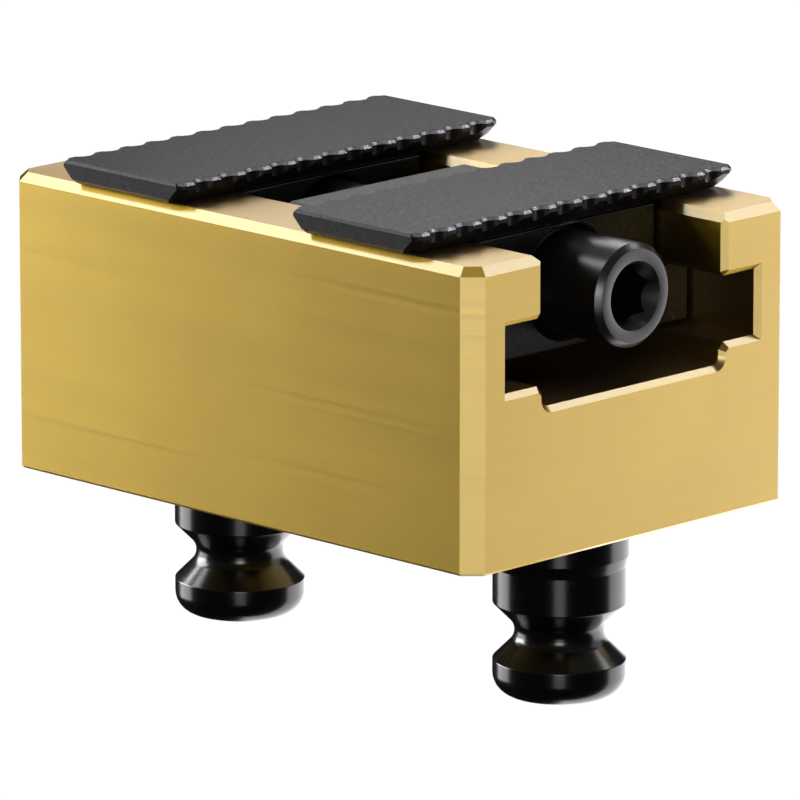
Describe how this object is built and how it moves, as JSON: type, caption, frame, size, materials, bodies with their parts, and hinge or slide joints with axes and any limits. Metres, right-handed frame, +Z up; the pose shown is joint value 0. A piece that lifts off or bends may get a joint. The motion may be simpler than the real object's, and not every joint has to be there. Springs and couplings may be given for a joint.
{
  "type": "self-centering vise",
  "caption": "Compact self-centering vise: two serrated jaws slide in a T-slotted block, driven by one double-ended screw, on a pair of pull studs.",
  "frame": {"origin": "middle of the body's flat underside, halfway between the two pull studs", "axes": "+X along the screw towards the right jaw, +Y across the body along the jaws' teeth, +Z up from the pull studs towards the jaws"},
  "size_m": [0.075, 0.052, 0.0579],
  "materials": {
    "gold_anodised_aluminium": "brushed, gold anodised",
    "black_jaw_steel": "satin black oxide",
    "dark_spindle_steel": "turned, black oxide",
    "dark_yoke_steel": "satin black oxide",
    "black_screw_steel": "black oxide",
    "ground_dowel_steel": "ground",
    "glossy_stud_steel": "glossy black"
  },
  "bodies": {
    "base": {"body": "gold_anodised_aluminium", "centre_yoke": "dark_yoke_steel", "front_yoke_screw": "black_screw_steel", "rear_yoke_screw": "black_screw_steel", "front_yoke_dowel": "ground_dowel_steel", "rear_yoke_dowel": "ground_dowel_steel", "left_pull_stud": "glossy_stud_steel", "right_pull_stud": "glossy_stud_steel"},
    "screw": {"spindle": "dark_spindle_steel"},
    "left_carriage": {"left_jaw": "black_jaw_steel"},
    "right_carriage": {"right_jaw": "black_jaw_steel"}
  },
  "joints": [
    {"name": "screw_turn", "type": "hinge", "parent": "base", "child": "screw", "pos_m": [0, 0, 0.028], "axis": [1, 0, 0], "range_deg": [-1560, 2400]},
    {"name": "right_jaw_slide", "type": "slide", "parent": "base", "child": "right_carriage", "axis": [1, 0, 0], "range_m": [-0.0065, 0.01]},
    {"name": "left_jaw_slide", "type": "slide", "parent": "base", "child": "left_carriage", "axis": [-1, 0, 0], "range_m": [-0.0065, 0.01]}
  ],
  "couplings": [
    {"joint": "left_jaw_slide", "follows": "right_jaw_slide", "ratio": 1},
    {"joint": "screw_turn", "follows": "right_jaw_slide", "rad_per_m": 4188.8}
  ]
}
